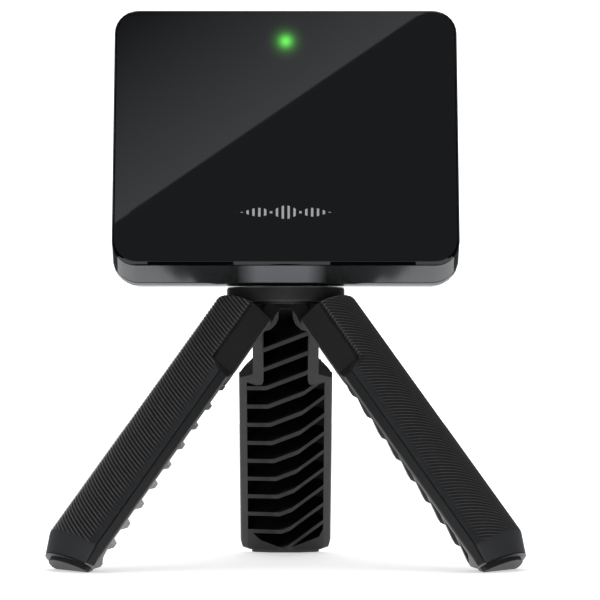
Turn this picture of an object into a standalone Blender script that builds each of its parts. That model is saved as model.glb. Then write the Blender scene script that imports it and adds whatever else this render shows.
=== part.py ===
"""Pocket radar launch monitor on a folding three-legged stand.

Shapes are worked out in millimetres and stored in metres, +Z up. The monitor looks along -Y. The stand's
own axis is vertical; the origin of the stored part is the middle of its bounding box, on the floor.
"""

import math

import bmesh
import bpy
from mathutils import Euler, Matrix, Vector

MM = 0.001
STAND_Y = -13.06  # where the stand's axis lies in the stored part

# Monitor body
BODY_W = 88.9
BODY_DEPTH = 25.4
BASE_Z = 71.55
TOP_Z = 143.5
CORNER_R, LOW_CORNER_R = 6.0, 6.9
LEAN = math.radians(14.3)  # the front leans back
LENS_FOOT_Z = 77.5  # where the lens's flat front ends, above its lower bevel
LENS_EDGE_Z = 76.6
LENS_T = 1.6
LENS_INSET = 0.35
WALL = 1.8
SPLIT_GAP = 0.2
SPLIT_SLOPE = 0.218  # the shells meet on a plane that leans less than the lens
SPLIT_FOOT = (-6.91, 72.35)
CHIN_TOP = (-12.3, 76.45)  # the underside slants from here, under the lens,
CHIN_FOOT = (-5.6, BASE_Z)  # to here, where the flat base starts
LENS_CORNER_R = 5.9
FRONT_Y = -BODY_DEPTH / 2
BACK_Y = BODY_DEPTH / 2

# Screws, insert and stud
SCREW_X = 39.2
SCREW_ZS = (80.3, 137.5)
SCREW_JOIN_Y = 8.6
STUD_R = 3.15
INSERT_R = 4.6

# Side controls, on the +X side
USB_Y, USB_Z = 5.85, 88.2
CAP_Y0, CAP_Y1, CAP_Z0, CAP_Z1 = 0.8, 10.0, 81.1, 95.0
CAP_T = 0.9
KEY_Y, KEY_Z, KEY_W, KEY_H = 7.9, 122.0, 3.0, 9.0
KEY_PROUD = 0.12
LIGHT_Z = 135.2

# Stand
HEAD_R = 15.2
HEAD_Z0, HEAD_Z1 = 67.4, 71.2
HEAD_FOOT_R, HEAD_SIDE_Z = 14.9, 67.7  # its lower edge is chamfered from one to the other
RECESS_R, RECESS_Z = 8.2, 69.4
LUG_HALF = 1.4
EAR_IN, EAR_OUT, EAR_R = 1.85, 3.2, 1.7
PIN_R, HOLE_R = 0.75, 0.80
SPLAY = math.radians(39.0)
LEG_Z = 66.0  # where a leg's own folding axis line meets the stand's axis
PIVOT_R = 4.0
PIVOT_T = PIVOT_R * math.tan(SPLAY / 2)
LEG_AZIMUTHS = (90.0, 210.0, 330.0)
LEG_R = 15.8
LEG_HALF = 12.4
LEG_EDGE_R = 7.45
LEG_TOP = 8.4
HEAD_CLEAR_Z = 66.2  # the legs stay below this under the head
SKIRT_R, SKIRT_Z = 11.4, 66.8
NECK_HALF = 8.7
GRIP_T, GRIP_HALF_ANGLE, GRIP_RIM = 1.3, math.radians(50.5), 0.8
CAVITY_R = 13.0
PAD_R = 11.8
RIB_SLOPE = 0.47
RIB_T = 1.38
RIB_FIRST, RIB_PITCH, RIB_COUNT = 14.3, 6.31, 12
FLOOR_T = LEG_Z / math.cos(SPLAY)  # floor line along the leg at radius 0
FLOOR_SLOPE = math.tan(SPLAY)
GAP = 0.15

materials = {}


# ---- scene and materials ------------------------------------------------------------------------


def clear_scene():
    for obj in list(bpy.data.objects):
        bpy.data.objects.remove(obj)


def material(name, colour, roughness, metallic=0.0):
    """One Principled material per sub-part."""
    mat = bpy.data.materials.new(name)
    mat.use_nodes = True
    shader = mat.node_tree.nodes["Principled BSDF"]
    shader.inputs["Base Color"].default_value = (*colour, 1.0)
    shader.inputs["Roughness"].default_value = roughness
    shader.inputs["Metallic"].default_value = metallic
    mat.diffuse_color = (*colour, 1.0)
    return mat


LEAD_ROUTE = [(20, 5.6, 113.3), (23, 5.8, 114.6), (25, 7.2, 116.6), (25, 8.9, 118)]
PLASTIC = ((0.035, 0.036, 0.038), 0.45, 0.0)
LEG_PLASTIC = ((0.06, 0.061, 0.065), 0.5, 0.0)
RUBBER = ((0.02, 0.02, 0.021), 0.8, 0.0)
LENS = ((0.008, 0.008, 0.009), 0.06, 0.0)
BOARD = ((0.02, 0.16, 0.07), 0.45, 0.0)
STEEL = ((0.55, 0.55, 0.56), 0.3, 1.0)
BRASS = ((0.72, 0.52, 0.22), 0.3, 1.0)
FOIL = ((0.6, 0.6, 0.62), 0.35, 1.0)
CELL = ((0.14, 0.2, 0.32), 0.4, 0.0)
CLEAR = ((0.75, 0.78, 0.76), 0.1, 0.0)
GREEN = ((0.25, 0.9, 0.25), 0.3, 0.0)


# ---- solids, in millimetres ---------------------------------------------------------------------


def solid(name, bm):
    """A mesh object from bm, faces turned outwards."""
    bmesh.ops.recalc_face_normals(bm, faces=bm.faces[:])
    mesh = bpy.data.meshes.new(name)
    bm.to_mesh(mesh)
    bm.free()
    obj = bpy.data.objects.new(name, mesh)
    bpy.context.scene.collection.objects.link(obj)
    return obj


def prism(name, outline, low, high, axis):
    """A closed 2D outline extruded along an axis: X takes (y, z), Y takes (x, z), Z takes (x, y)."""
    place = {
        "X": lambda a, b, h: (h, a, b),
        "Y": lambda a, b, h: (a, h, b),
        "Z": lambda a, b, h: (a, b, h),
    }[axis]
    bm = bmesh.new()
    face = bm.faces.new([bm.verts.new(place(a, b, low)) for a, b in outline])
    made = bmesh.ops.extrude_face_region(bm, geom=[face])
    top = [v for v in made["geom"] if isinstance(v, bmesh.types.BMVert)]
    shift = Vector(place(0.0, 0.0, high - low))
    bmesh.ops.translate(bm, vec=shift, verts=top)
    return solid(name, bm)


def box(name, x0, x1, y0, y1, z0, z1):
    return prism(name, [(x0, y0), (x1, y0), (x1, y1), (x0, y1)], z0, z1, "Z")


def rod(name, start, end, radius, segments=32, turn=0.0):
    """A cylinder between two points."""
    start, end = Vector(start), Vector(end)
    run = end - start
    bm = bmesh.new()
    bmesh.ops.create_cone(
        bm, cap_ends=True, segments=segments, radius1=radius, radius2=radius, depth=run.length
    )
    aim = run.to_track_quat("Z", "Y").to_matrix().to_4x4() @ Matrix.Rotation(turn, 4, "Z")
    bmesh.ops.transform(bm, matrix=Matrix.Translation((start + end) / 2) @ aim, verts=bm.verts)
    return solid(name, bm)


def loft(name, rings):
    """A closed body through rings of equal point count, capped at both ends."""
    bm = bmesh.new()
    loops = [[bm.verts.new(p) for p in ring] for ring in rings]
    count = len(loops[0])
    for low, high in zip(loops, loops[1:]):
        for i in range(count):
            j = (i + 1) % count
            bm.faces.new((low[i], low[j], high[j], high[i]))
    bm.faces.new(loops[0])
    bm.faces.new(loops[-1])
    return solid(name, bm)


def combine(target, tool, operation):
    """Apply one exact Boolean to target and drop the tool."""
    mod = target.modifiers.new(operation, "BOOLEAN")
    mod.operation = operation
    mod.solver = "EXACT"
    mod.object = tool
    bpy.context.view_layer.update()
    graph = bpy.context.evaluated_depsgraph_get()
    mesh = bpy.data.meshes.new_from_object(target.evaluated_get(graph))
    target.modifiers.clear()
    old = target.data
    target.data = mesh
    bpy.data.meshes.remove(old)
    bpy.data.objects.remove(tool)
    return target


def cut(target, *tools):
    for tool in tools:
        combine(target, tool, "DIFFERENCE")
    return target


def add(target, *tools):
    for tool in tools:
        combine(target, tool, "UNION")
    return target


def keep(target, tool):
    return combine(target, tool, "INTERSECT")


def arc(cx, cy, radius, start, stop, steps):
    """Points on an arc, angles in radians, both ends included."""
    return [
        (
            cx + radius * math.cos(start + (stop - start) * i / steps),
            cy + radius * math.sin(start + (stop - start) * i / steps),
        )
        for i in range(steps + 1)
    ]


def rounded_rect(x0, x1, z0, z1, radius_low, radius_high, steps=6):
    """A rectangle with its lower and upper corners rounded, counter-clockwise from the lower left."""
    low, high, quarter = radius_low, radius_high, math.pi / 2
    return (
        arc(x0 + low, z0 + low, low, 2 * quarter, 3 * quarter, steps)
        + arc(x1 - low, z0 + low, low, 3 * quarter, 4 * quarter, steps)
        + arc(x1 - high, z1 - high, high, 0.0, quarter, steps)
        + arc(x0 + high, z1 - high, high, quarter, 2 * quarter, steps)
    )


def mirrored(half):
    """A half outline on the +X side, given top to bottom, closed by its mirror image."""
    return half + [(-x, z) for x, z in reversed(half)]


# ---- monitor body -------------------------------------------------------------------------------


def lean_y(depth, z):
    """Y of the plane parallel to the lens face and depth behind it, at height z."""
    return FRONT_Y + math.tan(LEAN) * (z - LENS_FOOT_Z) + depth / math.cos(LEAN)


def body_outline(inset, base=None):
    """The body seen from the front, inset all round; base replaces the lower edge."""
    low = BASE_Z + inset if base is None else base
    half = BODY_W / 2 - inset
    return rounded_rect(-half, half, low, TOP_Z - inset, LOW_CORNER_R - inset, CORNER_R - inset, 7)


def leaning_ring(outline, depth):
    return [(x, lean_y(depth, z), z) for x, z in outline]


def split_ring(outline, offset):
    """An outline laid on the plane where the shells meet, or offset behind it."""
    y0, z0 = SPLIT_FOOT
    return [(x, y0 + offset + SPLIT_SLOPE * (z - z0), z) for x, z in outline]


def upright_ring(outline, y):
    return [(x, y, z) for x, z in outline]


def chin_z(y):
    """Height of the slanted underside at y."""
    (y0, z0), (y1, z1) = CHIN_TOP, CHIN_FOOT
    return z0 + (y - y0) * (z1 - z0) / (y1 - y0)


def front_lens():
    half = BODY_W / 2 - LENS_INSET
    top = TOP_Z - 0.1
    edge, bevel, radius = 0.3, 0.75, LENS_CORNER_R
    rings = []
    for depth, inset, low in (
        (0.0, edge, LENS_FOOT_Z),
        (edge, 0.0, LENS_FOOT_Z - 0.4),
        (bevel, 0.0, LENS_EDGE_Z),
        (LENS_T, 0.0, LENS_EDGE_Z),
    ):
        line = rounded_rect(
            -half + inset, half - inset, low, top - inset, radius, CORNER_R - inset, 8
        )
        rings.append(leaning_ring(line, depth))
    return loft("front_lens", rings)


def screw_posts():
    return [(side * SCREW_X, z) for z in SCREW_ZS for side in (-1, 1)]


def seat_outline():
    """The lens's seat: rounded at its lower corners and open at the sides and the top."""
    x, z, r, steps = 44.23, LENS_EDGE_Z - GAP, LENS_CORNER_R + 0.13, 7
    quarter = math.pi / 2
    low_left = arc(r - x, z + r, r, 2 * quarter, 3 * quarter, steps)
    low_right = arc(x - r, z + r, r, 3 * quarter, 4 * quarter, steps)
    return low_left + low_right + [(x, 82.4), (60, 82.4), (60, 160), (-60, 160), (-60, 82.4), (-x, 82.4)]


def front_housing():
    lip = chin_z(lean_y(0.7, CHIN_TOP[1]))
    shell = loft(
        "front_housing",
        [
            leaning_ring(body_outline(0.25, CHIN_TOP[1] + 0.2), 0.3),
            leaning_ring(body_outline(0.0, lip), 0.7),
            split_ring(body_outline(0.0, SPLIT_FOOT[1]), 0.0),
        ],
    )
    seat = seat_outline()
    cut(shell, loft("seat", [leaning_ring(seat, -3.0), leaning_ring(seat, LENS_T + GAP)]))
    front, back = body_outline(WALL, 78.4), body_outline(WALL, 76.4)
    cut(shell, loft("hollow", [leaning_ring(front, 3.2), split_ring(back, 1.0)]))
    for x, z in screw_posts():
        add(shell, rod("post", (x, lean_y(2.6, z), z), (x, SCREW_JOIN_Y - 0.1, z), 2.4, 24))
        cut(shell, rod("tap", (x, lean_y(3.4, z), z), (x, 20, z), 1.0, 16))
    return cut(shell, rod("light_hole", (0, -5, LIGHT_Z), (0, 9, LIGHT_Z), 1.45, 24))


def rear_housing():
    shell = loft(
        "rear_housing",
        [
            split_ring(body_outline(0.0, SPLIT_FOOT[1] - 0.15), SPLIT_GAP),
            split_ring(body_outline(0.0), CHIN_FOOT[0] - SPLIT_FOOT[0] + 0.22),
            upright_ring(body_outline(0.0), BACK_Y - 1.2),
            upright_ring(body_outline(0.35), BACK_Y - 0.35),
            upright_ring(body_outline(1.2), BACK_Y),
        ],
    )
    inner_front, inner_back = body_outline(WALL, 76.4), body_outline(WALL, 73.3)
    hollow = [split_ring(inner_front, -0.6), upright_ring(inner_back, BACK_Y - WALL)]
    cut(shell, loft("hollow", hollow))
    boss = rod("boss", (0, 0, 73.2), (0, 0, 79.0), 6.6, 36)
    add(shell, cut(boss, box("flat", -10, 10, -10, -5.5, 60, 90)))
    cut(shell, rod("boss_bore", (0, 0, 60), (0, 0, 77.9), INSERT_R + GAP, 36))
    for x, z in screw_posts():
        add(shell, rod("post", (x, SCREW_JOIN_Y + 0.1, z), (x, BACK_Y - 1.0, z), 2.9, 24))
        cut(shell, rod("counterbore", (x, BACK_Y - 2.0, z), (x, 20, z), 2.35, 24))
        cut(shell, rod("clear", (x, 8, z), (x, 20, z), 1.3, 16))
    cut(shell, seal_ring("seal_groove", 0.0, 0.9, 0.45, 1.35))
    side_openings(shell)
    return shell


def seal_ring(name, start, stop, outer, inner):
    """A closed frame lying along the split between the shells."""
    low = SPLIT_FOOT[1] + 1.2
    frame_out = body_outline(outer, low + outer)
    frame_in = body_outline(inner, low + inner)
    ring = loft(name, [split_ring(frame_out, start), split_ring(frame_out, stop)])
    hole = loft("hole", [split_ring(frame_in, start - 1), split_ring(frame_in, stop + 1)])
    return cut(ring, hole)


def oblong(y, z, width, height):
    radius = width / 2 - 0.01
    return rounded_rect(y - width / 2, y + width / 2, z - height / 2, z + height / 2, radius, radius, 5)


def side_openings(shell):
    """The cap's seat, the socket's opening and the key's hole, all in the +X wall."""
    side = BODY_W / 2
    cap = rounded_rect(CAP_Y0 - GAP, CAP_Y1 + GAP, CAP_Z0 - GAP, CAP_Z1 + GAP, 1.2, 1.2, 3)
    cut(
        shell,
        prism("cap_seat", cap, side - CAP_T - GAP, side + 5, "X"),
        box("plug_way", side - 4, side + 4, USB_Y - 1.9, USB_Y + 1.9, USB_Z - 4.7, USB_Z + 4.7),
        prism("key_hole", oblong(KEY_Y, KEY_Z, KEY_W + 0.3, KEY_H + 0.3), side - 4, side + 4, "X"),
    )


def housing_screw(index, x, z):
    head = rod(f"housing_screw_{index}", (x, BACK_Y - 1.8, z), (x, BACK_Y - 0.4, z), 2.1, 24)
    add(head, rod("shank", (x, lean_y(3.4, z) + 0.4, z), (x, BACK_Y - 1.5, z), 0.85, 16))
    cut(head, rod("drive", (x, BACK_Y - 1.1, z), (x, 20, z), 0.95, 6))
    return head


def leaning_plate(name, x0, x1, z0, z1, depth0, depth1):
    line = rounded_rect(x0, x1, z0, z1, 1.0, 1.0, 2)
    return loft(name, [leaning_ring(line, depth0), leaning_ring(line, depth1)])


def main_board():
    half = [(12, 138.2), (12, 133.0), (38.3, 133.0), (38.3, 113.4)]
    return prism("main_board", mirrored(half), 9.6, 10.6, "Y")


def tube(name, points, radius):
    """A round lead through points, its ends capped."""
    curve = bpy.data.curves.new(name, "CURVE")
    curve.dimensions = "3D"
    curve.bevel_depth = radius
    curve.bevel_resolution = 2
    curve.use_fill_caps = True
    curve.resolution_u = 5
    line = curve.splines.new("BEZIER")
    line.bezier_points.add(len(points) - 1)
    for knot, point in zip(line.bezier_points, points):
        knot.co = point
        knot.handle_left_type = knot.handle_right_type = "AUTO"
    holder = bpy.data.objects.new("holder", curve)
    bpy.context.scene.collection.objects.link(holder)
    bpy.context.view_layer.update()
    mesh = bpy.data.meshes.new_from_object(holder.evaluated_get(bpy.context.evaluated_depsgraph_get()))
    bm = bmesh.new()
    bm.from_mesh(mesh)
    bmesh.ops.remove_doubles(bm, verts=bm.verts, dist=0.001)
    bpy.data.objects.remove(holder)
    bpy.data.meshes.remove(mesh)
    return solid(name, bm)


def usb_socket():
    shell = box("usb_socket", 36.9, 42.4, USB_Y - 1.45, USB_Y + 1.45, USB_Z - 3.75, USB_Z + 3.75)
    return cut(
        shell, box("mouth", 37.6, 50, USB_Y - 1.1, USB_Y + 1.1, USB_Z - 3.4, USB_Z + 3.4)
    )


def tripod_insert():
    ring = rod("tripod_insert", (0, 0, BASE_Z + 0.25), (0, 0, BASE_Z + 6.3), INSERT_R, 36)
    return cut(ring, rod("bore", (0, 0, 60), (0, 0, 90), STUD_R + 0.1, 36))


def usb_cap():
    side = BODY_W / 2
    line = rounded_rect(CAP_Y0, CAP_Y1, CAP_Z0, CAP_Z1, 1.1, 1.1, 3)
    cap = prism("usb_cap", line, side - CAP_T, side, "X")
    tongue = box(
        "tongue", side - 1.7, side - 0.5, USB_Y - 1.6, USB_Y + 1.6, USB_Z - 4.0, USB_Z + 3.8
    )
    lip = box("lip", side - 0.2, side + 0.25, USB_Y - 2.4, USB_Y + 2.0, CAP_Z1 - 1.6, CAP_Z1 - 0.7)
    return add(cap, tongue, lip)


def power_button():
    side = BODY_W / 2
    key = prism("power_button", oblong(KEY_Y, KEY_Z, KEY_W, KEY_H), side - 4.2, side + KEY_PROUD, "X")
    flange = prism("flange", oblong(KEY_Y, KEY_Z, 3.3, KEY_H + 1.4), side - 3.4, side - 2.4, "X")
    dimple = rod("dimple", (side - 0.1, KEY_Y, KEY_Z), (side + 3, KEY_Y, KEY_Z), 0.9, 20)
    return cut(add(key, flange), dimple)


# ---- stand --------------------------------------------------------------------------------------


def about_axis(azimuth):
    """Turns a shape drawn for the +Y leg to the leg at azimuth."""
    return Matrix.Rotation(math.radians(azimuth - 90), 4, "Z")


def turned(obj, matrix):
    obj.data.transform(matrix)
    return obj


def pivot_z():
    return LEG_Z + PIVOT_T


def tripod_head():
    edge, turn = 0.35, 2 * math.pi * 71 / 72
    sizes = (
        (HEAD_FOOT_R, HEAD_Z0), (HEAD_R, HEAD_SIDE_Z), (HEAD_R, HEAD_Z1 - edge), (HEAD_R - edge, HEAD_Z1),
    )
    head = loft("tripod_head", [[(*p, z) for p in arc(0, 0, r, 0, turn, 71)] for r, z in sizes])
    add(head, rod("skirt", (0, 0, SKIRT_Z), (0, 0, HEAD_Z0 + 0.5), SKIRT_R, 48))
    cut(head, rod("skirt_bore", (0, 0, 60), (0, 0, HEAD_Z0 + 0.2), RECESS_R + 0.8, 48))
    cut(head, rod("recess", (0, 0, 60), (0, 0, RECESS_Z), RECESS_R, 48))
    groove = rod("groove", (0, 0, HEAD_Z1 - 0.55), (0, 0, 80), 14.1, 48)
    cut(groove, rod("core", (0, 0, 60), (0, 0, 90), 6.9, 48))
    cut(head, groove)
    cut(head, rod("flange_seat", (0, 0, 70.0), (0, 0, 80), 5.65, 6))
    low, reach = pivot_z() - EAR_R, PIVOT_R
    side = [(-0.5, RECESS_Z + 0.3), (-0.5, low)] + arc(
        reach, pivot_z(), EAR_R, -math.pi / 2, 0.0, 8
    )
    side.append((PIVOT_R + EAR_R, RECESS_Z + 0.3))
    for azimuth in LEG_AZIMUTHS:
        lug = prism("lug", side, -LUG_HALF, LUG_HALF, "X")
        add(head, turned(lug, about_axis(azimuth)))
    for azimuth in LEG_AZIMUTHS:
        hole = rod("hole", (-6, PIVOT_R, pivot_z()), (6, PIVOT_R, pivot_z()), HOLE_R, 24)
        cut(head, turned(hole, about_axis(azimuth)))
    return head


def top_pad():
    ring = rod("top_pad", (0, 0, HEAD_Z1 - 0.5), (0, 0, HEAD_Z1 + 0.05), 13.95, 48)
    return cut(ring, rod("core", (0, 0, 60), (0, 0, 90), 7.05, 48))


def mount_stud():
    flange = rod("mount_stud", (0, 0, 70.1), (0, 0, 71.0), 5.45, 6)
    add(flange, rod("shank", (0, 0, 70.6), (0, 0, 76.6), STUD_R, 36))
    return add(flange, rod("nose", (0, 0, 76.2), (0, 0, 77.1), 2.6, 36))


def hinge_pin(index, azimuth):
    ends = (-EAR_OUT + 0.05, EAR_OUT - 0.05)
    pin = rod(
        f"hinge_pin_{index}", (ends[0], PIVOT_R, pivot_z()), (ends[1], PIVOT_R, pivot_z()), PIN_R, 24
    )
    return turned(pin, about_axis(azimuth))


# A leg is drawn folded: x across it, y outwards from the stand's axis, z = -t down its length.


def leg_section():
    """A third of a round, its sides just clear of the neighbouring legs."""
    turn = math.asin(LEG_HALF / LEG_R)
    v = lambda x: x / math.sqrt(3) + 0.29
    crown = arc(0, 0, LEG_R, math.pi / 2 - turn, math.pi / 2 + turn, 16)
    right = [(LEG_HALF - 0.35, v(LEG_HALF - 0.35)), (LEG_HALF, LEG_EDGE_R + 0.35)]
    return [(0, v(0))] + right + crown + [(-x, y) for x, y in reversed(right)]


def pad_section(grow):
    turn = math.asin(9.25 / PAD_R)
    crown = arc(0, 0, PAD_R + grow, math.pi / 2 - turn, math.pi / 2 + turn, 8)
    right = [(4.2 + grow / 2, 3.4 - grow), (9.25 + grow, 6.3 - grow / 2)]
    return right + crown + [(-x, y) for x, y in reversed(right)]


def leg_end(name):
    """Cuts the foot: an inner edge parallel to the floor, then a slightly tilted end."""
    lift = 1.03
    line = [(-3, -(FLOOR_T - lift - 3 * FLOOR_SLOPE)), (5.8, -88.6), (13.4, -89.94), (25, -92)]
    return prism(name, line + [(25, -110), (-3, -110)], -20, 20, "X")


def leg_taper(inset=0.0, thinning=0.0):
    """The round body of a leg, tapering to the foot; inset is from its outer surface."""
    radius = LEG_R - inset
    sizes = ((radius, 12.0), (radius, -84.0), (13.2 - inset + thinning, -89.94), (8.9 - inset, -100.0))
    return loft(
        "taper",
        [[(*p, z) for p in arc(0, 0, r, 0, 2 * math.pi * 95 / 96, 95)] for r, z in sizes],
    )


def leg_cavity():
    half = [
        (5.85, 0.0), (5.85, -27.3), (6.3, -28.7), (7.6, -29.6), (10.3, -29.8), (10.3, -81.4), (9.2, -83.8),
    ]
    cavity = prism("cavity", mirrored(half), -4, 20, "Y")
    keep(cavity, rod("floor", (0, 0, 10), (0, 0, -95), CAVITY_R, 96))
    for i in range(RIB_COUNT):
        t = RIB_FIRST + RIB_PITCH * i
        rise = RIB_SLOPE * 12
        line = [
            (-12, -t - rise - RIB_T / 2), (12, -t + rise - RIB_T / 2),
            (12, -t + rise + RIB_T / 2), (-12, -t - rise + RIB_T / 2),
        ]
        cut(cavity, prism("rib", line, -5, 20, "Y"))
    brace = [(-11, -81.0), (-2.0, -87.0), (-4.0, -87.6), (-11, -83.0)]
    return cut(cavity, prism("brace", brace, -5, 20, "Y"))


def ear(side):
    line = arc(PIVOT_R, -PIVOT_T, EAR_R, 0, math.pi, 12) + [(3.0, -4.4), (5.7, -4.4)]
    low, high = sorted((side * EAR_IN, side * EAR_OUT))
    return prism("ear", line, low, high, "X")


def under_head():
    """The room kept clear under the head, seen from a leg."""
    turn, top = math.radians(SPLAY), 90.0
    line = [
        (0, math.sin(turn) * (z - LEG_Z), math.cos(turn) * (z - LEG_Z)) for z in (HEAD_CLEAR_Z, top)
    ]
    return rod("under_head", *line, HEAD_R + 0.3, 48)


def beside_neck(side, grow):
    """What is cut away on one side to make the narrow neck and its shoulder."""
    inner, outer, far = NECK_HALF + grow, LEG_HALF + grow, 20
    shoulder, foot = -26.3 - 2 * grow, -29.2 - 2 * grow
    line = [(inner, 10), (far, 10), (far, foot), (outer, foot), (inner, shoulder)]
    return prism("neck", [(side * x, z) for x, z in line], -5, 25, "Y")


def wishbone(side):
    """The arm that joins an ear to the neck's wall."""
    line = [
        (3.2, -2.6), (3.3, -5.0), (4.1, -6.8), (5.6, -8.2), (8.3, -9.0), (8.3, -11.6), (6.2, -11.6),
        (5.4, -10.3), (3.9, -9.1), (2.5, -7.4), (EAR_IN, -5.2), (EAR_IN, -2.6),
    ]
    arm = prism("arm", [(side * x, z) for x, z in line], 2.6, 6.5, "Y")
    return keep(arm, prism("section", leg_section(), -30, 5, "Z"))


def leg_frame_shape():
    frame = prism("leg_frame", leg_section(), -95, -LEG_TOP, "Z")
    slant = [(-5, 8), (4.604 + 0.376, 8), (4.604 - 0.047 * 96, -96), (-5, -96)]
    cut(frame, prism("inner_face", slant, -20, 20, "X"))
    for side in (-1, 1):
        cut(frame, beside_neck(side, 0.0))
    keep(frame, leg_taper())
    cut(frame, under_head(), grip_band("grip_seat", 0.1), leg_cavity(), leg_end("foot_cut"))
    pocket = [(2, -85.1), (13.5, -88.4), (13.5, -99), (2, -99)]
    seat = prism("seat", pad_section(GAP), -100, -80, "Z")
    cut(frame, keep(seat, prism("depth", pocket, -20, 20, "X")))
    add(frame, wishbone(1), wishbone(-1), ear(1), ear(-1))
    return cut(frame, rod("hole", (-6, PIVOT_R, -PIVOT_T), (6, PIVOT_R, -PIVOT_T), HOLE_R, 24))


def grip_band(name, grow):
    """The skin's place round a leg: a curved band from its top to just above the foot."""
    half = GRIP_HALF_ANGLE + grow / LEG_R
    wedge = [(0, 0)] + arc(0, 0, 30, math.pi / 2 - half, math.pi / 2 + half, 8)
    band = prism(name, wedge, -95, 10, "Z")
    cut(band, leg_taper(GRIP_T + grow, 0.3))
    end = [(-3, -87.4), (30, -93.2), (30, -110), (-3, -110)]
    low = [(y, z + GRIP_RIM - grow) for y, z in end]
    return cut(band, prism("end", low, -40, 40, "X"))


def leg_grip_shape():
    grip = keep(grip_band("leg_grip", 0.0), leg_taper())
    for side in (-1, 1):
        cut(grip, beside_neck(side, 0.05))
    return cut(grip, under_head(), box("top", -30, 30, -5, 30, -LEG_TOP, 20))


def foot_pad_shape():
    pad = prism("foot_pad", pad_section(0.0), -100, -80, "Z")
    side = [
        (2, -85.27), (13.5, -88.57), (13.5, -91.16), (6.07, -FLOOR_T - FLOOR_SLOPE * 6.07),
        (2, -FLOOR_T - FLOOR_SLOPE * 2),
    ]
    return keep(pad, prism("depth", side, -20, 20, "X"))


# ---- assembly -----------------------------------------------------------------------------------


def finish(obj, look, pivot=(0.0, 0.0, 0.0), holder=None):
    """Scale a shape to metres about its pivot, shade it and give it its material."""
    pivot = Vector(pivot)
    obj.data.transform(Matrix.Scale(MM, 4) @ Matrix.Translation(-pivot))
    obj.data.materials.clear()
    obj.data.materials.append(material(obj.name, *look))
    obj.data.shade_smooth()
    obj.data.set_sharp_from_angle(angle=math.radians(35))
    if holder is None:
        obj.location = (pivot + Vector((0, STAND_Y, 0))) * MM
    else:
        obj.parent = holder
    for collection in list(obj.users_collection):
        collection.objects.unlink(obj)
    parts.objects.link(obj)
    return obj


def body_parts():
    for obj, look in (
        (front_lens(), LENS),
        (front_housing(), PLASTIC),
        (rear_housing(), PLASTIC),
        (seal_ring("housing_seal", 0.05, 0.75, 0.55, 1.25), RUBBER),
        (leaning_plate("radar_antenna", -24, 24, 86, 122, 3.45, 3.95), BRASS),
        (leaning_plate("radar_board", -34, 34, 83, 127, 4.1, 5.3), BOARD),
        (leaning_plate("radar_shield", -15, 15, 87, 104, 5.45, 7.3), FOIL),
        (main_board(), BOARD),
        (box("processor_shield", -11, 11, 7.8, 9.45, 115, 130), FOIL),
        (box("battery_pack", -25, 25, 3.0, 9.3, 80.6, 112.6), CELL),
        (tube("battery_lead", LEAD_ROUTE, 0.55), RUBBER),
        (box("board_ribbon", -30, -18, 7.0, 7.25, 113.6, 123.0), BRASS),
        (box("status_led", -0.8, 0.8, 8.7, 9.45, LIGHT_Z - 0.8, LIGHT_Z + 0.8), GREEN),
        (rod("light_pipe", (0, lean_y(LENS_T, LIGHT_Z) + 0.5, LIGHT_Z), (0, 8.5, LIGHT_Z), 1.25, 24), CLEAR),
        (box("usb_board", 29.5, 42.0, USB_Y + 1.6, USB_Y + 2.6, 83.6, 97.0), BOARD),
        (usb_socket(), STEEL),
        (box("power_switch", 34.0, 39.4, 6.4, 9.45, KEY_Z - 2.5, KEY_Z + 2.5), STEEL),
        (tripod_insert(), BRASS),
    ):
        finish(obj, look)
    for index, (x, z) in enumerate(screw_posts(), 1):
        finish(housing_screw(index, x, z), STEEL)
    finish(usb_cap(), RUBBER, (BODY_W / 2, (CAP_Y0 + CAP_Y1) / 2, CAP_Z0))
    finish(power_button(), RUBBER, (BODY_W / 2, KEY_Y, KEY_Z))


def stand_parts():
    finish(tripod_head(), LEG_PLASTIC)
    finish(top_pad(), RUBBER)
    finish(mount_stud(), STEEL)
    shapes = (
        (leg_frame_shape(), LEG_PLASTIC), (leg_grip_shape(), RUBBER), (foot_pad_shape(), RUBBER),
    )
    pivot = (0.0, PIVOT_R, -PIVOT_T)
    for index, azimuth in enumerate(LEG_AZIMUTHS, 1):
        finish(hinge_pin(index, azimuth), STEEL, about_axis(azimuth) @ Vector((0, PIVOT_R, pivot_z())))
        holder = bpy.data.objects.new(f"leg_{index}_hinge", None)
        parts.objects.link(holder)
        where = about_axis(azimuth) @ Vector((0, PIVOT_R, pivot_z()))
        holder.location = (where + Vector((0, STAND_Y, 0))) * MM
        holder.rotation_euler = Euler((SPLAY, 0.0, math.radians(azimuth - 90)))
        for shape, look in shapes:
            copy = shape.copy()
            copy.data = shape.data.copy()
            copy.name = f"{shape.name}_{index}"
            bpy.context.scene.collection.objects.link(copy)
            finish(copy, look, pivot, holder)
    for shape, _ in shapes:
        bpy.data.objects.remove(shape)


clear_scene()
parts = bpy.data.collections.new("launch_monitor")
bpy.context.scene.collection.children.link(parts)
body_parts()
stand_parts()
bpy.context.view_layer.update()
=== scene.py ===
import math

import bmesh
import bpy
from mathutils import Euler, Matrix, Vector


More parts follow.
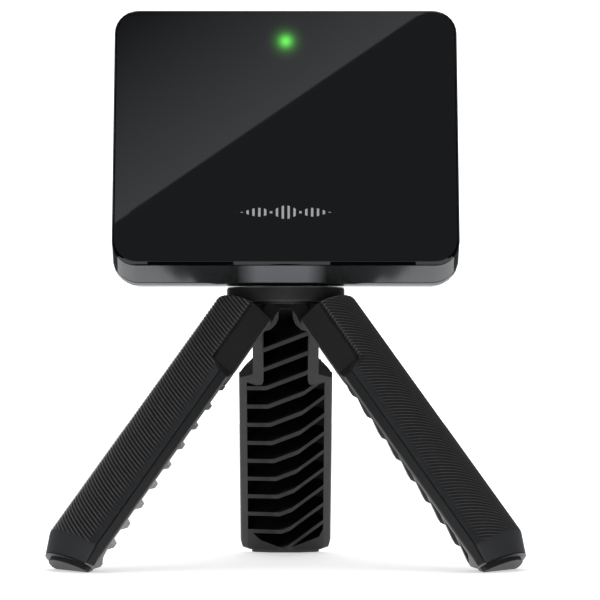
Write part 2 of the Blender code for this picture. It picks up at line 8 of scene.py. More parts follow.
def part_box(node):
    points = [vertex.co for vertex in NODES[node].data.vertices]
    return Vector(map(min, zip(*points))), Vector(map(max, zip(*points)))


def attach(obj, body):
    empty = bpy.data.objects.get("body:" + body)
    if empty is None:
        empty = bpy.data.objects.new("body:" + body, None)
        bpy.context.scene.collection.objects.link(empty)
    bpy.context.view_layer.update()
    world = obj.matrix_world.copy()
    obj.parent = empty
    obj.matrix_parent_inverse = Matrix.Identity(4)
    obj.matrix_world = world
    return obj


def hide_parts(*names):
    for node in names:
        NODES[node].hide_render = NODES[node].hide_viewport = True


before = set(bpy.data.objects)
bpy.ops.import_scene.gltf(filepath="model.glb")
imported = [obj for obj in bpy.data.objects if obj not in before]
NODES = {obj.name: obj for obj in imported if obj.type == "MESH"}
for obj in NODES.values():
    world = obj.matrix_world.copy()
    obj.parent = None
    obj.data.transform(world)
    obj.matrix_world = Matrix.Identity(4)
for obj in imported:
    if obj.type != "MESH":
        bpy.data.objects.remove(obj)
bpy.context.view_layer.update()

MM = 0.001  # metres in a millimetre; coordinates in materials are in millimetres

# The stand, as it is placed in the CAD.
LEGS = (1, 2, 3)
LEG_AZIMUTHS = {1: 90.0, 2: 210.0, 3: 330.0}
SPLAY = math.radians(39)
STAND_Y = sum(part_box("tripod_head")[end].y for end in (0, 1)) / 2
LEG_Z = 0.066
LEG_HALF, NECK_HALF = 12.4, 8.7
NECK_END, WIDE_FROM = -28.4, -29.9  # the narrow neck widens between these, along the leg
POCKET_HALF_NECK, POCKET_HALF_WIDE = 5.95, 10.4
RIB_FACE_Y, RIB_FACE_SLOPE = 4.98, 0.047  # the plane of the ribs' open side
TOE_END, TOE_SLOPE = 87.58, 0.176  # the slanted end of the moulding
TOE_RIM = (0.25, 0.5)  # the painted floor reflection on the toe rim fades out between these, above the end

# What shows on the lens.
LIGHT_Z = 135.2
LIGHT_CORE, LIGHT_HALO = 2.2, 7.0  # squared radii of the two parts of the glow
MARK_Z = 90.2
MARK_HALF = 12.6
MARK_BAR = 1.5  # from one bar to the next
LENS_LEAN = math.radians(14.3)

# The ridged skins. Lengths down a leg are counted from its origin.
SKIN_R, SKIN_T = 15.8, 1.2
SKIN_TOP = 8.4
SKIN_LOW = 83.9  # the ridges end here
SKIN_END, SKIN_END_SLOPE = 86.57, 5.8 / 33  # its slanted end at the toe
TAPER_FROM, TAPER_TO, TAPER_BY = 84.0, 89.94, 2.6
NECK_T, WIDE_T = 26.4, 29.3
SKIN_HALF_NECK, SKIN_HALF_WIDE, SKIN_HALF_MAX = 8.75, 12.45, 12.17
PITCH, HEIGHT, SLANT = 0.97, 0.34, 0.49
RISE = 0.16  # the share of a ridge taken by its steep side
MID_SLOPE = 0.6  # the extra row of points down its long slope
FIRST_RIDGE = 0.3
RIDGES_TO, RIDGES_GONE = 38, 46  # degrees round the leg where the ridges fade out
FADE_T = 0.6
LIP_TOP, LIP_SIDE, LIP_SIDE_DROP = 0.7, 0.35, 0.3
SKIN_LENGTH = 100
ACROSS = 22
SHARP_ANGLE = math.radians(24)

# The camera, in metres and radians, and the reflections made for it.
CAMERA_X, CAMERA_AWAY, CAMERA_Z = -0.00065, 0.85, 0.04626
CAMERA_TILT, CAMERA_PAN = 0.0256, -0.0051
FOCAL_LENGTH, SENSOR = 197.66, 36.0
LENS_CARD_AWAY = 0.6
SIDE_FLAG_X = 0.16
CHIN_CARD_Z = 71.4  # just under the body


# ---------- node helpers ----------
class Mat:
    """A Principled material under construction. Colours, noise and lines are laid out in millimetres."""

    def __init__(self, name, colour, rough, metal=0.0):
        self.m = bpy.data.materials.new(name)
        self.m.use_nodes = True
        self.tree = self.m.node_tree
        self.shader = self.tree.nodes["Principled BSDF"]
        self.set("Base Color", (*colour, 1.0))
        self.set("Roughness", rough)
        self.set("Metallic", metal)
        self._mm = None

    def set(self, socket, value):
        self.shader.inputs[socket].default_value = value

    def node(self, kind, **settings):
        node = self.tree.nodes.new(kind)
        for key, value in settings.items():
            setattr(node, key, value)
        return node

    def link(self, source, target):
        self.tree.links.new(source, target)

    def put(self, value, socket):
        """Sets a socket to a constant, or links it when the value is another node's output."""
        if isinstance(value, bpy.types.NodeSocket):
            self.link(value, socket)
        else:
            socket.default_value = value

    @property
    def mm(self):
        """The point in the part's frame, in millimetres."""
        if self._mm is None:
            self._mm = self.place((0, 0, 0), (0, 0, 0))
        return self._mm

    def place(self, origin, turn):
        """The point in millimetres, in a frame at origin turned by the Euler angles."""
        coords = self.node("ShaderNodeTexCoord")
        mapping = self.node("ShaderNodeMapping", vector_type="TEXTURE")
        mapping.inputs["Location"].default_value = origin
        mapping.inputs["Rotation"].default_value = turn
        mapping.inputs["Scale"].default_value = (MM, MM, MM)
        self.link(coords.outputs["Object"], mapping.inputs["Vector"])
        return mapping.outputs["Vector"]

    def on_leg(self, leg):
        """The point in a leg's own frame: u across, y out from the stand's axis, z back up the leg."""
        turn = (SPLAY, 0.0, math.radians(LEG_AZIMUTHS[leg] - 90))
        return self.split(self.place((0, STAND_Y, LEG_Z), turn))

    def split(self, vector):
        node = self.node("ShaderNodeSeparateXYZ")
        self.link(vector, node.inputs[0])
        return node.outputs

    def math(self, operation, a, b=0.0, c=0.0, clamp=False):
        node = self.node("ShaderNodeMath", operation=operation, use_clamp=clamp)
        for value, socket in zip((a, b, c), node.inputs):
            self.put(value, socket)
        return node.outputs[0]

    def times(self, *factors):
        product = factors[0]
        for factor in factors[1:]:
            product = self.math("MULTIPLY", product, factor)
        return product

    def less(self, a, b):
        """a minus b."""
        return self.math("SUBTRACT", a, b)

    def size(self, value):
        return self.math("ABSOLUTE", value)

    def opposite(self, mask):
        return self.math("SUBTRACT", 1.0, mask)

    def smooth(self, value, low, high):
        """0 below low, 1 above high, smooth between."""
        node = self.node("ShaderNodeMapRange", interpolation_type="SMOOTHSTEP")
        self.put(value, node.inputs["Value"])
        node.inputs["From Min"].default_value = low
        node.inputs["From Max"].default_value = high
        return node.outputs["Result"]

    def noise(self, scale, detail=2.0, rough=0.5, vector=None, distortion=0.0):
        node = self.node("ShaderNodeTexNoise")
        self.link(vector or self.mm, node.inputs["Vector"])
        node.inputs["Scale"].default_value = scale
        node.inputs["Detail"].default_value = detail
        node.inputs["Roughness"].default_value = rough
        node.inputs["Distortion"].default_value = distortion
        return node.outputs["Fac"]

    def voronoi(self, scale):
        node = self.node("ShaderNodeTexVoronoi")
        self.link(self.mm, node.inputs["Vector"])
        node.inputs["Scale"].default_value = scale
        return node.outputs["Distance"]

    def ramp(self, fac, stops):
        """A colour ramp through (position, colour) stops; a plain number is a grey."""
        node = self.node("ShaderNodeValToRGB")
        self.put(fac, node.inputs[0])
        set_stops(node.color_ramp, stops)
        return node.outputs["Color"]

    def mix(self, fac, a, b):
        node = self.node("ShaderNodeMix", data_type="RGBA")
        self.put(fac, node.inputs[0])
        for value, socket in ((a, node.inputs[6]), (b, node.inputs[7])):
            self.put((*value, 1.0) if isinstance(value, tuple) else value, socket)
        return node.outputs[2]

    def colour(self, value):
        self.link(value, self.shader.inputs["Base Color"])

    def colour_so_far(self):
        return self.shader.inputs["Base Color"].links[0].from_socket

    def rough(self, fac, low, high):
        node = self.node("ShaderNodeMapRange")
        self.put(fac, node.inputs["Value"])
        node.inputs["To Min"].default_value = low
        node.inputs["To Max"].default_value = high
        self.link(node.outputs["Result"], self.shader.inputs["Roughness"])

    def bump(self, height, distance):
        """Raises the surface by up to distance (mm) where height is 1."""
        node = self.node("ShaderNodeBump")
        node.inputs["Strength"].default_value = 1.0
        node.inputs["Distance"].default_value = distance * MM
        self.put(height, node.inputs["Height"])
        self.link(node.outputs["Normal"], self.shader.inputs["Normal"])

    def glow(self, colour, strength):
        self.link(colour, self.shader.inputs["Emission Color"])
        self.set("Emission Strength", strength)


def set_stops(color_ramp, stops):
    elements = color_ramp.elements
    while len(elements) < len(stops):
        elements.new(0.5)
    for element, (position, colour) in zip(elements, stops):
        element.position = position
        element.color = (*colour, 1.0) if isinstance(colour, tuple) else (colour, colour, colour, 1.0)


def scaled(colour, factor):
    return tuple(channel * factor for channel in colour)


def paint(material, *names):
    for name in names:
        slots = NODES[name].data.materials
        slots.clear()
        slots.append(material.m)


# ---------- materials of the body ----------
def shell_paint():
    """Dark metallic lacquer of the two housings: fine flake and a faint orange peel."""
    m = Mat("shell_lacquer", (0.15, 0.155, 0.16), 0.2, 0.85)
    flake = m.voronoi(9.0)
    cloud = m.noise(0.25, 3.0)
    base = m.ramp(flake, [(0.0, (0.175, 0.18, 0.186)), (0.7, (0.138, 0.142, 0.148))])
    m.colour(m.mix(m.times(cloud, 0.35), base, (0.12, 0.124, 0.13)))
    m.rough(m.noise(3.5, 4.0, 0.6), 0.12, 0.2)
    m.bump(m.noise(2.2, 2.0), 0.012)
    return m


def status_glow(m, x, z):
    """The status light painted on the lens as a glow: a bright core in a soft halo."""
    up = m.less(z, LIGHT_Z)
    squared = m.math("ADD", m.times(x, x), m.times(up, up))
    core = m.math("POWER", math.e, m.times(squared, -1 / LIGHT_CORE))
    halo = m.math("POWER", math.e, m.times(squared, -1 / LIGHT_HALO))
    return m.math("MULTIPLY_ADD", core, 0.76, m.times(halo, 0.24))


def bar_mark(m, x, z):
    """A plain row of bars, like a sound wave, tallest in the middle and fading out to both sides."""
    bar = m.math("PINGPONG", m.math("ADD", x, 100 * MARK_BAR), MARK_BAR / 2)
    slim = m.smooth(bar, 0.41, 0.49)
    wave = m.size(m.math("COSINE", m.times(x, 0.42)))
    fall = m.math("SUBTRACT", 1.0, m.math("DIVIDE", m.size(x), MARK_HALF), clamp=True)
    tall = m.times(m.math("MULTIPLY_ADD", wave, 1.5, 0.35), m.math("POWER", fall, 0.5))
    inside = m.smooth(m.less(tall, m.size(m.less(z, MARK_Z))), 0.04, 0.12)
    return m.times(slim, inside)


def lens_glass():
    """Black gloss front panel, with the green status light painted on it as a glow, and a small generic
    mark.
    """
    m = Mat("lens_gloss", (0.0016, 0.0017, 0.0019), 0.035)
    x, _, z = m.split(m.mm)
    # Painted glow of the status light, laid on the lens as emission.
    m.glow(m.ramp(status_glow(m, x, z), [(0.0, 0.0), (1.0, (0.15, 0.93, 0.10))]), 1.0)
    m.colour(m.mix(bar_mark(m, x, z), (0.0010, 0.0015, 0.0026), (0.56, 0.565, 0.575)))
    m.rough(m.noise(0.12, 4.0, 0.55, distortion=1.5), 0.008, 0.022)
    m.set("IOR", 1.58)
    return m


def satin_plastic(name, colour, rough=(0.36, 0.5), grain=14.0):
    """Moulded plastic with a fine spark-eroded grain."""
    m = Mat(name, colour, rough[0])
    m.colour(m.ramp(m.noise(0.35, 3.0), [(0.3, scaled(colour, 0.86)), (0.7, scaled(colour, 1.16))]))
    m.rough(m.noise(1.1, 4.0, 0.65), *rough)
    m.bump(m.noise(grain, 3.0, 0.6), 0.012)
    return m


def rubber(name, colour, rough=(0.5, 0.66), depth=0.02):
    """Moulded rubber, slightly uneven in colour and sheen."""
    m = Mat(name, colour, rough[0])
    m.set("Specular IOR Level", 0.42)
    m.colour(m.ramp(m.noise(0.5, 4.0, 0.6), [(0.3, scaled(colour, 0.8)), (0.72, scaled(colour, 1.25))]))
    m.rough(m.noise(2.6, 4.0, 0.7), *rough)
    m.bump(m.noise(9.0, 4.0, 0.65), depth)
    return m


def metal(name, colour, rough=(0.18, 0.34), brushed=(1.0, 1.0, 14.0)):
    """Brushed metal, with streaks drawn out by the brushed factors."""
    m = Mat(name, colour, rough[0], 1.0)
    stretch = m.node("ShaderNodeVectorMath", operation="MULTIPLY")
    m.link(m.mm, stretch.inputs[0])
    stretch.inputs[1].default_value = brushed
    streak = m.noise(1.4, 4.0, 0.7, vector=stretch.outputs[0])
    m.colour(m.ramp(streak, [(0.25, scaled(colour, 0.82)), (0.75, colour)]))
    m.rough(streak, *rough)
    m.bump(streak, 0.006)
    return m


def circuit(name, colour, copper, pitch):
    """Solder mask over copper tracks on a slightly wandering grid."""
    m = Mat(name, colour, 0.32)
    x, _, z = m.split(m.mm)
    wander = m.noise(0.35, 1.0)
    from_column = m.math("PINGPONG", m.math("MULTIPLY_ADD", wander, pitch * 2, x), pitch / 2)
    from_row = m.math("PINGPONG", z, pitch / 2)
    line = m.smooth(m.math("MINIMUM", from_column, from_row), pitch * 0.1, pitch * 0.06)
    m.colour(m.mix(line, colour, copper))
    m.rough(m.noise(1.5, 3.0), 0.25, 0.42)
    m.bump(line, 0.03)
    return m


def antenna_face():
    """Radar antenna laminate with rows of copper patches."""
    m = Mat("antenna_laminate", (0.02, 0.05, 0.035), 0.35)
    x, _, z = m.split(m.mm)
    across = m.smooth(m.math("PINGPONG", x, 2.6), 1.0, 1.1)
    up = m.smooth(m.math("PINGPONG", m.less(z, 104.0), 2.9), 1.2, 1.3)
    patch = m.times(across, up)
    m.colour(m.mix(patch, (0.018, 0.05, 0.035), (0.62, 0.34, 0.16)))
    m.rough(m.noise(1.2, 3.0), 0.28, 0.45)
    m.bump(patch, 0.035)
    return m


def pouch():
    """Battery in a crimped foil pouch."""
    m = Mat("battery_foil", (0.45, 0.46, 0.48), 0.3, 0.8)
    crinkle = m.noise(0.9, 5.0, 0.7, distortion=0.6)
    m.colour(m.ramp(crinkle, [(0.3, (0.36, 0.37, 0.39)), (0.7, (0.52, 0.53, 0.55))]))
    m.rough(crinkle, 0.24, 0.45)
    m.bump(crinkle, 0.12)
    return m


def clear_plastic():
    """The light pipe."""
    m = Mat("light_pipe_clear", (0.82, 0.86, 0.84), 0.22)
    m.set("Transmission Weight", 0.7)
    m.colour(m.ramp(m.noise(1.5, 3.0), [(0.3, (0.78, 0.83, 0.8)), (0.7, (0.86, 0.9, 0.88))]))
    m.rough(m.noise(3.0, 3.0), 0.16, 0.3)
    return m


def status_light():
    """The lit chip behind the light pipe."""
    m = Mat("status_light", (0.2, 0.8, 0.2), 0.3)
    lit = m.ramp(m.noise(2.0, 2.0), [(0.2, (0.1, 0.75, 0.08)), (0.8, (0.2, 1.0, 0.14))])
    m.colour(lit)
    m.glow(lit, 2.0)
    return m


# ---------- materials of the legs ----------
def leg_plastic(leg):
    """Leg moulding: satin grey rim and ribs, darker sides, pockets blackened by painted shade, a painted
    floor reflection on the toe rim.
    """
    m = satin_plastic(f"leg_plastic_{leg}", (0.022, 0.0222, 0.0238), (0.3, 0.42))
    m.set("Specular IOR Level", 0.32)
    u, y, z = m.on_leg(leg)
    side = m.size(u)
    neck = m.smooth(z, WIDE_FROM, NECK_END)

    outside = m.less(side, m.math("MULTIPLY_ADD", neck, NECK_HALF - LEG_HALF, LEG_HALF - 0.12))
    surface = m.mix(m.smooth(outside, 0.0, 0.08), m.colour_so_far(), (0.018, 0.0184, 0.0197))
    # Painted reflection of the floor: a light grey band on the rim at the slanted toe end.
    above_toe = m.math("ADD", z, m.math("MULTIPLY_ADD", y, TOE_SLOPE, TOE_END))
    painted_sheen = m.opposite(m.smooth(above_toe, *TOE_RIM))
    surface = m.mix(m.times(painted_sheen, 0.9), surface, (0.2, 0.2, 0.205))

    # Painted shade: surfaces deep in the pockets, below the hinge, are made near black.
    rib_face = m.math("MULTIPLY_ADD", z, RIB_FACE_SLOPE, RIB_FACE_Y)
    pocket_painted_shade = m.smooth(m.less(y, rib_face), 0.15, 0.9)
    limit = m.math("MULTIPLY_ADD", neck, POCKET_HALF_NECK - POCKET_HALF_WIDE, POCKET_HALF_WIDE)
    within = m.smooth(m.less(limit, side), -0.05, 0.02)
    below_hinge = m.smooth(z, -10.0, -13.0)
    m.colour(m.mix(m.times(pocket_painted_shade, within, below_hinge), surface, (0.0035, 0.0035, 0.0036)))
    return m


def ridged_rubber(leg):
    """Black grip rubber, with a painted highlight along the crest of each ridge, painted shade over the
    ridged part, and lighter on the plain band at the toe.
    """
    m = rubber(f"skin_rubber_{leg}", (0.0222, 0.0232, 0.0256), (0.4, 0.52))
    m.set("Specular IOR Level", 0.4)
    u, y, z = m.on_leg(leg)
    along = m.less(m.less(m.times(u, SLANT), z), FIRST_RIDGE)
    phase = m.math("FRACT", m.math("ADD", m.math("DIVIDE", along, PITCH), 200.0))
    # Painted highlight: a light line along the crest of each ridge.
    crest = m.less(m.smooth(phase, 0.0, 0.06), m.smooth(phase, 0.18, 0.32))
    round_leg = m.math("ARCTANGENT", m.math("DIVIDE", m.size(u), y))
    front = m.opposite(m.smooth(round_leg, math.radians(RIDGES_TO), math.radians(RIDGES_GONE)))
    toe = m.smooth(m.times(z, -1.0), SKIN_LOW, SKIN_LOW + FADE_T)
    ridged = m.times(front, m.opposite(toe))
    # Uneven strength of the painted crest highlight.
    painted_sheen = m.math("MULTIPLY_ADD", m.noise(0.8, 3.0), 0.8, 0.4)
    # Painted shade of the grooves: the ridged part is darkened.
    painted_groove_shade = m.mix(m.times(ridged, 0.75), m.colour_so_far(), (0.0113, 0.0119, 0.0134))
    plain = m.mix(toe, painted_groove_shade, (0.0305, 0.032, 0.035))
    m.colour(m.mix(m.times(ridged, crest, painted_sheen), plain, (0.175, 0.173, 0.17)))
    return m


# ---------- every piece gets its material ----------
def paint_body():
    paint(shell_paint(), "front_housing", "rear_housing")
    paint(lens_glass(), "front_lens")
    paint(rubber("seal_rubber", (0.03, 0.03, 0.032)), "housing_seal")
    paint(rubber("cap_rubber", (0.014, 0.014, 0.015)), "usb_cap")
    paint(satin_plastic("button_plastic", (0.03, 0.03, 0.032), (0.3, 0.42)), "power_button")
    paint(satin_plastic("switch_plastic", (0.012, 0.012, 0.013)), "power_switch")
    paint(clear_plastic(), "light_pipe")
    paint(status_light(), "status_led")


def paint_electronics():
    paint(antenna_face(), "radar_antenna")
    paint(circuit("radar_board_mask", (0.01, 0.06, 0.03), (0.02, 0.12, 0.05), 1.6), "radar_board")
    paint(circuit("main_board_mask", (0.008, 0.035, 0.06), (0.015, 0.07, 0.11), 1.3), "main_board")
    paint(circuit("usb_board_mask", (0.01, 0.05, 0.03), (0.02, 0.1, 0.05), 1.1), "usb_board")
    tin = metal("tinned_shield", (0.6, 0.61, 0.6), (0.26, 0.42), (1.0, 1.0, 3.0))
    paint(tin, "radar_shield", "processor_shield")
    paint(pouch(), "battery_pack")
    paint(satin_plastic("lead_sleeve", (0.3, 0.02, 0.015), (0.4, 0.55), 8.0), "battery_lead")
    paint(satin_plastic("ribbon_film", (0.32, 0.12, 0.02), (0.3, 0.45), 5.0), "board_ribbon")


def paint_hardware():
    steel = metal("brushed_steel", (0.56, 0.57, 0.58))
    paint(steel, "usb_socket", *(f"hinge_pin_{leg}" for leg in LEGS))
    dark_steel = metal("dark_steel", (0.14, 0.14, 0.145))
    paint(dark_steel, *(f"housing_screw_{n}" for n in (1, 2, 3, 4)), "mount_stud")
    paint(metal("knurled_brass", (0.72, 0.5, 0.22)), "tripod_insert")


def paint_stand(skins):
    paint(satin_plastic("head_plastic", (0.011, 0.0112, 0.012), (0.34, 0.46)), "tripod_head")
    paint(rubber("pad_rubber", (0.016, 0.016, 0.017)), "top_pad")
    sole = rubber("sole_rubber", (0.03, 0.0305, 0.033), (0.42, 0.56), 0.03)
    for leg in LEGS:
        paint(leg_plastic(leg), f"leg_frame_{leg}")
        paint(skins[leg], f"leg_grip_{leg}")
        paint(sole, f"foot_pad_{leg}")


# ---------- softened edges on the CAD pieces ----------
def soften(name, width, angle=32):
    """Rounds the sharp edges of a CAD piece with a narrow bevel, in millimetres, by modifiers only."""
    piece = NODES[name]
    weld = piece.modifiers.new("weld", "WELD")
    weld.merge_threshold = 2e-6
    bevel = piece.modifiers.new("bevel", "BEVEL")
    bevel.width = width * MM
    bevel.segments = 2
    bevel.limit_method = "ANGLE"
    bevel.angle_limit = math.radians(angle)
    bevel.use_clamp_overlap = True
    weigh = piece.modifiers.new("normals", "WEIGHTED_NORMAL")
    weigh.weight = 60
    weigh.keep_sharp = False
    smooth_faces(piece.data)


def smooth_faces(mesh):
    mesh.polygons.foreach_set("use_smooth", [True] * len(mesh.polygons))


def soften_pieces():
    soften("front_housing", 0.12)
    soften("rear_housing", 0.12)
    soften("front_lens", 0.06, 20)
    soften("tripod_head", 0.18)
    soften("power_button", 0.15)
    soften("usb_cap", 0.15)
    for leg in LEGS:
        soften(f"leg_frame_{leg}", 0.22)
        soften(f"foot_pad_{leg}", 0.3)


# ---------- ridged rubber skins ----------
# A skin is a grid: s runs down the leg from ridge to ridge, f runs across it from -1 to 1. The ridges are
# slanted, so the point (f, s) lies at t = s - SLANT * u down the leg, u being its distance from the middle.
def clamped(x):
    return min(max(x, 0.0), 1.0)


def ease(x, start, end):
    """0 at start, 1 at end, smooth between."""
    k = clamped((x - start) / (end - start))
    return k * k * (3 - 2 * k)


def skin_half(t):
    """Half width of the skin at t down the leg."""
    wide = clamped((t - NECK_T) / (WIDE_T - NECK_T))
    return min(SKIN_HALF_NECK + (SKIN_HALF_WIDE - SKIN_HALF_NECK) * wide, SKIN_HALF_MAX)


def skin_end(y):
    """Where the skin ends at the slanted toe, y out from the stand's axis."""
    return SKIN_END + (y + 3) * SKIN_END_SLOPE


def skin_radius(t):
    return SKIN_R - max(0.0, t - TAPER_FROM) * TAPER_BY / (TAPER_TO - TAPER_FROM)


def ridge(phase):
    """Saw tooth: a short steep side facing up, then a long slope."""
    f = phase % 1.0
    return f / RISE - 1.0 if f < RISE else -(f - RISE) / (1 - RISE)


def lip(distance, width, drop):
    """How far a rounded edge falls away at a distance inside it."""
    k = 1 - clamped(distance / width)
    return drop * (1 - math.sqrt(max(0.0, 1 - k * k)))


def skin_place(f, s):
    """Distance across the leg and down it of the grid point (f, s); each depends on the other."""
    t = s
    for _ in range(6):
        u = f * skin_half(t)
        y = math.sqrt(SKIN_R**2 - u * u)
        t = min(max(s - SLANT * u, SKIN_TOP), skin_end(y))
    return f * skin_half(t), t


def skin_point(f, s, inner):
    u, t = skin_place(f, s)
    r = skin_radius(t)
    angle = math.asin(u / SKIN_R)
    if inner:
        r -= SKIN_T
    else:
        fade = 1 - ease(abs(math.degrees(angle)), RIDGES_TO, RIDGES_GONE)
        fade *= ease(t, SKIN_TOP + 0.3, SKIN_TOP + 1.2) * (1 - ease(t, SKIN_LOW, SKIN_LOW + FADE_T))
        r += HEIGHT * ridge((s - FIRST_RIDGE) / PITCH) * fade
        r -= lip(t - SKIN_TOP, LIP_TOP, LIP_TOP)
        r -= lip((1 - abs(f)) * skin_half(t), LIP_SIDE, LIP_SIDE_DROP)
    return Vector((r * math.sin(angle), r * math.cos(angle), -t))


def skin_columns():
    """Values of f: even across the middle, close together at the rounded edges."""
    edge = [0.972, 0.984, 0.994, 1]
    middle = [2 * k / ACROSS - 1 for k in range(ACROSS + 1)]
    return [-f for f in reversed(edge)] + [f for f in middle if abs(f) < 0.95] + edge


def skin_rows():
    """Values of s: the valley, the crest and a point down the slope of each ridge."""
    rows = []
    count = math.ceil(SKIN_LENGTH / PITCH)
    for n in range(count):
        valley = n * PITCH + FIRST_RIDGE
        rows += [valley, valley + RISE * PITCH, valley + MID_SLOPE * PITCH]
    return rows


def skin_grid(bm, inner):
    """One side of a skin, facing out for the outer one and in for the inner one."""
    columns = skin_columns()
    grid = [[bm.verts.new(skin_point(f, s, inner)) for f in columns] for s in skin_rows()]
    for upper, lower in zip(grid, grid[1:]):
        for k in range(len(columns) - 1):
            face = (upper[k], upper[k + 1], lower[k + 1], lower[k])
            bm.faces.new(face if inner else face[::-1])
    return grid


def close_skin(bm, outer, inner):
    """Joins the two sides round their border."""
    last, end = len(outer) - 1, len(outer[0]) - 1
    for k in range(end):
        bm.faces.new((outer[0][k], outer[0][k + 1], inner[0][k + 1], inner[0][k]))
        bm.faces.new((outer[last][k + 1], outer[last][k], inner[last][k], inner[last][k + 1]))
    for j in range(last):
        bm.faces.new((outer[j + 1][0], outer[j][0], inner[j][0], inner[j + 1][0]))
        bm.faces.new((outer[j][end], outer[j + 1][end], inner[j + 1][end], inner[j][end]))


def skin_mesh(leg):
    """A skin in the part's frame, in metres."""
    bm = bmesh.new()
    outer = skin_grid(bm, inner=False)
    inner = skin_grid(bm, inner=True)
    close_skin(bm, outer, inner)
    bmesh.ops.remove_doubles(bm, verts=bm.verts, dist=1e-4)
    bmesh.ops.dissolve_degenerate(bm, dist=1e-4, edges=bm.edges)
    bmesh.ops.recalc_face_normals(bm, faces=bm.faces)
    bm.transform(
        Matrix.Translation((0, STAND_Y, LEG_Z))
        @ Matrix.Rotation(math.radians(LEG_AZIMUTHS[leg] - 90), 4, "Z")
        @ Matrix.Rotation(SPLAY, 4, "X")
        @ Matrix.Scale(MM, 4)
    )
    mesh = bpy.data.meshes.new(f"ridged_skin_{leg}")
    bm.to_mesh(mesh)
    bm.free()
    smooth_faces(mesh)
    mesh.set_sharp_from_angle(angle=SHARP_ANGLE)
    return mesh


def add_object(name, data):
    o = bpy.data.objects.new(name, data)
    bpy.context.scene.collection.objects.link(o)
    return o


def add_skins(skins):
    for leg in LEGS:
        mesh = skin_mesh(leg)
        mesh.materials.append(skins[leg].m)
        piece = add_object(mesh.name, mesh)
        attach(piece, f"leg_{leg}")
        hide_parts(f"leg_grip_{leg}")


# ---------- floor, backdrop, light ----------
def paper(name, glow):
    """Matt white paper, lit from behind so that it stays white in the picture."""
    white = (0.9, 0.9, 0.9)
    m = Mat(name, white, 0.85)
    m.colour(m.ramp(m.noise(0.02, 2.0), [(0.3, scaled(white, 0.985)), (0.7, white)]))
    m.set("Emission Color", (1.0, 1.0, 1.0, 1.0))
    m.set("Emission Strength", glow)
    return m.m


def sheet(name, profile, material):
    """A sheet 8 m wide along a profile of (y, z) points."""
    mesh = bpy.data.meshes.new(name)
    verts = [(x, y, z) for y, z in profile for x in (-4.0, 4.0)]
    faces = [(2 * k, 2 * k + 1, 2 * k + 3, 2 * k + 2) for k in range(len(profile) - 1)]
    mesh.from_pydata(verts, [], faces)
    smooth_faces(mesh)
    mesh.materials.append(material)
    o = add_object(name, mesh)


def surround():
    """A pale dome beyond the paper, seen by the camera but taking no part in the light."""
    bm = bmesh.new()
    bmesh.ops.create_icosphere(bm, subdivisions=4, radius=9.0)
    mesh = bpy.data.meshes.new("surround")
    bm.to_mesh(mesh)
    bm.free()
    mesh.materials.append(paper("surround_paper", 1.05))
    o = add_object("surround", mesh)
    o.visible_diffuse = False
    o.visible_glossy = False
    o.visible_shadow = False
    o.visible_transmission = False


def add_paper():
    sheet("floor", [(-4.0, 0.0), (3.0, 0.0)], paper("floor_paper", 0.55))
    angles = [k * math.pi / 24 for k in range(13)]
    curve = [(3.0 + math.sin(a), 1.0 - math.cos(a)) for a in angles]
    sheet("backdrop", curve + [(4.0, 4.0)], paper("backdrop_paper", 1.05))
    surround()


def add_world():
    world = bpy.data.worlds.new("studio")
    world.use_nodes = True
    colour, strength = world.node_tree.nodes["Background"].inputs[:2]
    colour.default_value = (0.98, 0.99, 1.0, 1.0)
    strength.default_value = 0.2
    bpy.context.scene.world = world


def softbox(name, place, aim, size, radiance):
    """An area light of the given radiance; size is its width and height."""
    light = bpy.data.lights.new(name, "AREA")
    light.shape = "RECTANGLE"
    light.size, light.size_y = size
    light.energy = radiance * math.pi * size[0] * size[1]
    o = add_object(name, light)
    o.location = place
    o.rotation_euler = (Vector(aim) - Vector(place)).to_track_quat("-Z", "Y").to_euler()


def add_lights():
    softbox("top_softbox", (0.0, 0.1, 1.3), (0, 0, 0), (1.6, 1.4), 1.35)
    softbox("left_softbox", (-1.3, -0.7, 0.55), (0, 0, 0.06), (0.8, 1.0), 0.6)
    softbox("right_softbox", (1.3, -0.7, 0.45), (0, 0, 0.06), (0.8, 0.9), 0.35)


def add_camera():
    lens = bpy.data.cameras.new("camera")
    lens.sensor_width = SENSOR
    lens.lens = FOCAL_LENGTH
    lens.clip_start = 0.05
    lens.clip_end = 30.0
    camera = add_object("camera", lens)
    camera.location = (CAMERA_X, STAND_Y - CAMERA_AWAY, CAMERA_Z)
    camera.rotation_euler = Euler((math.pi / 2 + CAMERA_TILT, 0.0, CAMERA_PAN))
    bpy.context.scene.camera = camera
    bpy.context.scene.view_settings.view_transform = "Standard"
    return camera


# ---------- cards that show only in reflections ----------
def card(name, corners, material):
    """A flat four-cornered studio card that shows in gloss but in no picture, and casts no shadow."""
    mesh = bpy.data.meshes.new(name)
    mesh.from_pydata([tuple(corner) for corner in corners], [], [(0, 1, 2, 3)])
    uv = mesh.uv_layers.new(name="UVMap")
    for loop, corner in zip(uv.data, ((0, 0), (1, 0), (1, 1), (0, 1))):
        loop.uv = corner
    mesh.materials.append(material)
    o = add_object(name, mesh)
    o.visible_camera = False
    o.visible_diffuse = False
    o.visible_shadow = False
    o.visible_transmission = False


def black_paper():
    m = Mat("flag_paper", (0.01, 0.01, 0.01), 0.9)
    m.colour(m.ramp(m.noise(0.05, 2.0), [(0.3, 0.008), (0.7, 0.012)]))
    return m.m


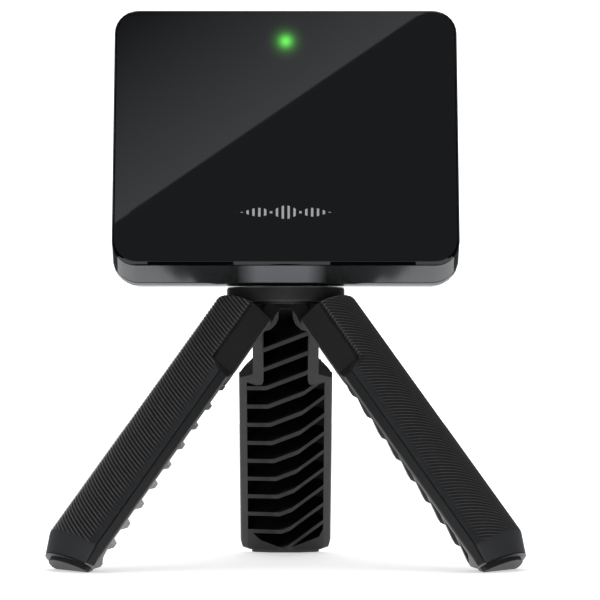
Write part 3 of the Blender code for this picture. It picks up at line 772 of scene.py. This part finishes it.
def graded_light(name, axis, stops):
    """Light given off by a card, graded along one axis of its UV square."""
    material = bpy.data.materials.new(name)
    material.use_nodes = True
    tree = material.node_tree
    tree.nodes.clear()
    coords = tree.nodes.new("ShaderNodeTexCoord")
    split = tree.nodes.new("ShaderNodeSeparateXYZ")
    ramp = tree.nodes.new("ShaderNodeValToRGB")
    emission = tree.nodes.new("ShaderNodeEmission")
    output = tree.nodes.new("ShaderNodeOutputMaterial")
    set_stops(ramp.color_ramp, stops)
    tree.links.new(coords.outputs["UV"], split.inputs[0])
    tree.links.new(split.outputs[axis], ramp.inputs[0])
    tree.links.new(ramp.outputs[0], emission.inputs[0])
    tree.links.new(emission.outputs[0], output.inputs[0])
    return material


def seen_in_lens(eye, x, z):
    """Where the lens card is met by the ray mirrored at the point (x, z) of the lens, given in mm."""
    normal = Vector((0, -math.cos(LENS_LEAN), math.sin(LENS_LEAN)))
    foot_y, foot_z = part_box("front_lens")[0].y, 0.0775
    point = Vector((x * MM, foot_y + math.tan(LENS_LEAN) * (z * MM - foot_z), z * MM))
    ray = (point - eye).normalized()
    return point + (ray - 2 * ray.dot(normal) * normal) * LENS_CARD_AWAY


def softbox_card(eye):
    """A dim graded card above the camera, mirrored in the lens as a sheen with one crisp diagonal edge."""
    low, high = seen_in_lens(eye, -44.6, 87.0), seen_in_lens(eye, 37.0, 144.0)
    corner = seen_in_lens(eye, -44.6, 146.0)
    along = (high - low).normalized()
    away = (corner - low) - (corner - low).dot(along) * along
    near = [low - along * 0.02, high + along * 0.02]
    far = [point + away * 1.1 for point in reversed(near)]
    light = graded_light("card_glow", 1, [(0.0, (0.86, 0.87, 0.91)), (1.0, 0.0)])
    card("softbox_card", near + far, light)


def side_flag(name, x, material):
    """A black card at one side, which gives the glossy edges their dark outline."""
    corners = [(-0.35, 0.01), (0.35, 0.01), (0.35, 0.5), (-0.35, 0.5)]
    card(name, [(x, y, z) for y, z in corners], material)


def chin_card(name, x0, x1, y0, y1, material):
    """A small card just under the body, mirrored in its chin or in the lower edge of the lens (mm)."""
    corners = [(x0, y0), (x1, y0), (x1, y1), (x0, y1)]
    card(name, [(x * MM, y * MM, CHIN_CARD_Z * MM) for x, y in corners], material)


def add_cards(eye):
    softbox_card(eye)
    black = black_paper()
    side_flag("left_flag", -SIDE_FLAG_X, black)
    side_flag("right_flag", SIDE_FLAG_X, black)
    pale = (0.84, 0.86, 0.9)
    bright = graded_light("chin_glow", 0, [(0.0, 0.0), (0.22, pale), (0.78, pale), (1.0, 0.0)])
    chin_card("chin_fill", -12.5, 10.5, -27.0, -19.5, bright)
    chin_card("left_bevel_flag", -35.5, -13.4, -33.0, -27.3, black)
    chin_card("right_bevel_flag", 11.4, 33.4, -33.0, -27.3, black)


# ---------- the whole scene ----------
skins = {leg: ridged_rubber(leg) for leg in LEGS}
paint_body()
paint_electronics()
paint_hardware()
paint_stand(skins)
soften_pieces()
add_skins(skins)
add_paper()
add_world()
add_lights()
add_cards(add_camera().location)
